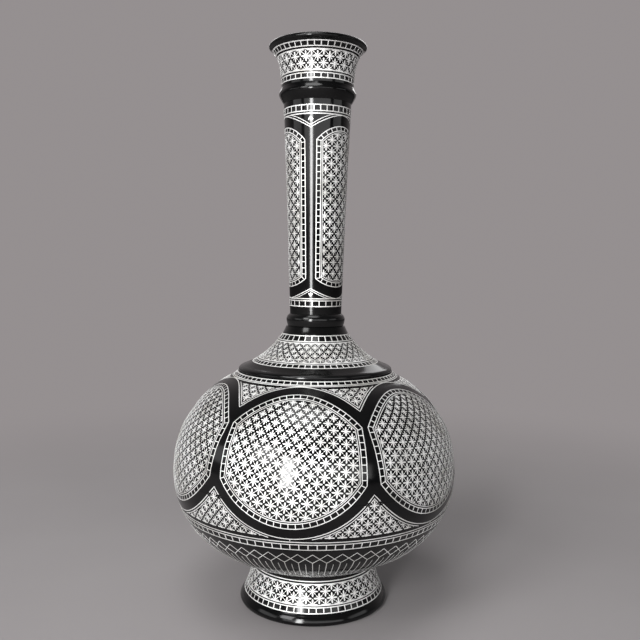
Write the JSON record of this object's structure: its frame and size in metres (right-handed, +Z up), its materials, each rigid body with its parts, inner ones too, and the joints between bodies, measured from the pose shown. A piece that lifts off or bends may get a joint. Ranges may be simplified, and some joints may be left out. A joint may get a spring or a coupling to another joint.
{
  "type": "bidri vase",
  "caption": "Tall-necked globular vase of blackened zinc alloy castings on a flared foot, with silver hoops and a star and ladder inlay.",
  "frame": {"origin": "centre of the foot's bottom rim, on the surface that the vase stands on", "axes": "+Z up along the vase's axis, -Y towards the front of the picture"},
  "size_m": [0.1528, 0.1528, 0.3],
  "materials": {
    "black_alloy": "blackened zinc and copper alloy, oiled and polished",
    "silver": "hammered silver inlay, rubbed flush"
  },
  "bodies": {
    "root": {"foot": "black_alloy", "body_lower_half": "black_alloy", "body_upper_half": "black_alloy", "shoulder": "black_alloy", "neck_ring": "black_alloy", "neck": "black_alloy", "collar_bead": "black_alloy", "mouth": "black_alloy", "silver_hoop_foot_low": "silver", "silver_hoop_foot_top": "silver", "silver_hoop_body_low": "silver", "silver_hoop_body_top": "silver", "silver_hoop_shoulder_low": "silver", "silver_hoop_shoulder_top": "silver", "silver_hoop_neck_low": "silver", "silver_hoop_neck_top": "silver", "silver_hoop_mouth_low": "silver", "silver_hoop_mouth_top": "silver"}
  },
  "joints": []
}
